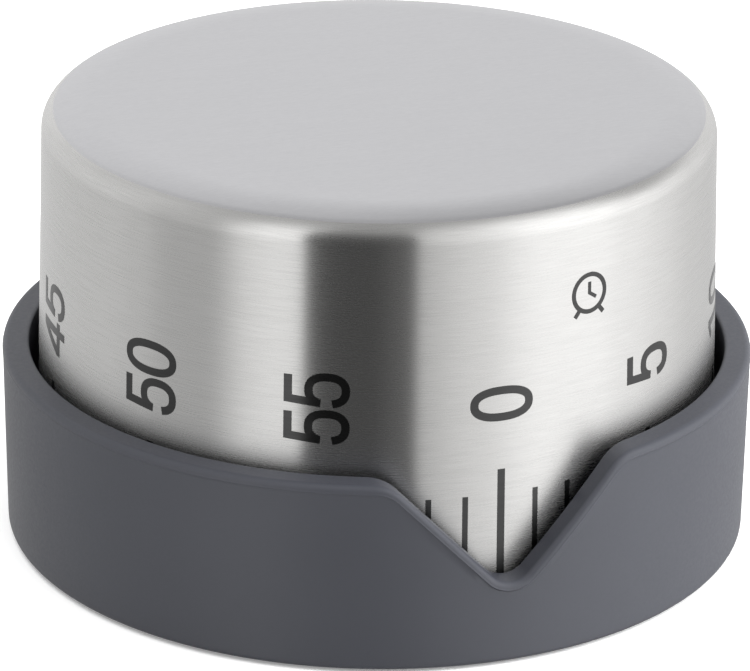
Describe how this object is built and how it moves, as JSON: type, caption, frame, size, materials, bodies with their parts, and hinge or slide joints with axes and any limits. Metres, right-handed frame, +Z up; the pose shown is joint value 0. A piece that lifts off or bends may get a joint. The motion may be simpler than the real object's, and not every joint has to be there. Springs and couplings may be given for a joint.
{
  "type": "kitchen timer",
  "caption": "Round mechanical kitchen timer: a brushed steel dial cap with a minute scale turns in a matte plastic base ring whose notch points at the time; clockwork and bell inside.",
  "frame": {"origin": "centre of the bottom, on the surface that the timer stands on, on the dial's axis", "axes": "+Z up along the dial's axis, -Y towards the notch that points at the time"},
  "size_m": [0.071, 0.0709, 0.0421],
  "materials": {
    "cap_steel": "circumferentially brushed, satin",
    "housing_plastic": "matte, soft to the touch, fine texture",
    "pad_rubber": "matte",
    "carrier_plastic": "moulded, satin",
    "plate_steel": "zinc plated, satin",
    "screw_steel": "zinc plated",
    "wheel_brass": "stamped, satin",
    "turned_brass": "turned, bright",
    "arbor_steel": "turned, bright",
    "spring_steel": "blued",
    "bell_metal": "nickel plated",
    "fibre": "vulcanised fibre"
  },
  "bodies": {
    "base": {"base_housing": "housing_plastic", "foot_pads": "pad_rubber", "movement_screws": "screw_steel", "bottom_plate": "plate_steel", "top_plate": "plate_steel", "plate_pillars": "turned_brass", "pillar_nuts": "screw_steel", "lower_bush": "turned_brass", "upper_bush": "turned_brass", "stop_pin": "arbor_steel", "bell": "bell_metal", "bell_washer": "fibre", "bell_screw": "screw_steel", "detent_stud": "turned_brass", "detent_spring": "spring_steel", "spring_post": "turned_brass"},
    "dial": {"steel_cap": "cap_steel", "dial_carrier": "carrier_plastic", "main_arbor": "arbor_steel", "arbor_clip": "spring_steel", "great_wheel": "wheel_brass", "ratchet_wheel": "arbor_steel", "click_stud": "arbor_steel", "click_spring": "spring_steel", "alarm_cam": "turned_brass"},
    "click": {"click": "arbor_steel"},
    "barrel": {"spring_barrel": "wheel_brass", "barrel_cover": "wheel_brass", "mainspring": "spring_steel"},
    "second_wheel": {"second_wheel": "wheel_brass", "second_pinion": "arbor_steel"},
    "third_wheel": {"third_wheel": "wheel_brass", "third_pinion": "arbor_steel"},
    "escape_wheel": {"escape_wheel": "wheel_brass", "escape_pinion": "arbor_steel"},
    "pallet": {"pallet_anchor": "arbor_steel", "pallet_pins": "arbor_steel", "pallet_arbor": "arbor_steel", "balance_wheel": "wheel_brass"},
    "star_wheel": {"star_wheel": "arbor_steel", "star_pinion": "arbor_steel"},
    "hammer": {"hammer_arbor": "arbor_steel", "hammer_tail": "plate_steel", "hammer_arm": "plate_steel", "hammer_head": "turned_brass"},
    "detent": {"detent_lever": "plate_steel"}
  },
  "joints": [
    {"name": "dial_turn", "type": "hinge", "parent": "base", "child": "dial", "pos_m": [0, 0, 0.02], "axis": [0, 0, -1], "range_deg": [0, 356]},
    {"name": "second_wheel_turn", "type": "hinge", "parent": "base", "child": "second_wheel", "pos_m": [0.0084, -0.01455, 0.02], "axis": [0, 0, -1], "range_deg": [-3204, 0]},
    {"name": "third_wheel_turn", "type": "hinge", "parent": "base", "child": "third_wheel", "pos_m": [0.01659, -0.00645, 0.02], "axis": [0, 0, -1], "range_deg": [0, 25632]},
    {"name": "escape_wheel_turn", "type": "hinge", "parent": "base", "child": "escape_wheel", "pos_m": [0.0203, 0.00285, 0.02], "axis": [0, 0, -1], "range_deg": [-256320, 0]},
    {"name": "pallet_rock", "type": "hinge", "parent": "base", "child": "pallet", "pos_m": [0.01888, 0.00919, 0.02], "axis": [0, 0, 1], "range_deg": [-7, 7]},
    {"name": "barrel_turn", "type": "hinge", "parent": "base", "child": "barrel", "pos_m": [0, 0, 0.02], "axis": [0, 0, 1], "range_deg": [0, 720]},
    {"name": "star_wheel_turn", "type": "hinge", "parent": "base", "child": "star_wheel", "pos_m": [-0.0108, -0.01287, 0.02], "axis": [0, 0, 1], "range_deg": [-6480, 0]},
    {"name": "hammer_swing", "type": "hinge", "parent": "base", "child": "hammer", "pos_m": [-0.0177, -0.00973, 0.02], "axis": [0, 0, 1], "range_deg": [-8, 5]},
    {"name": "detent_swing", "type": "hinge", "parent": "base", "child": "detent", "pos_m": [-0.01541, 0.00718, 0.02], "axis": [0, 0, -1], "range_deg": [-6.2, 3]},
    {"name": "click_lift", "type": "hinge", "parent": "dial", "child": "click", "pos_m": [0.006, 0.00644, 0.02], "axis": [0, 0, 1], "range_deg": [0, 7]}
  ],
  "couplings": [
    {"joint": "second_wheel_turn", "follows": "dial_turn", "ratio": -9},
    {"joint": "third_wheel_turn", "follows": "dial_turn", "ratio": 72},
    {"joint": "escape_wheel_turn", "follows": "dial_turn", "ratio": -720},
    {"joint": "star_wheel_turn", "follows": "barrel_turn", "ratio": -9}
  ]
}
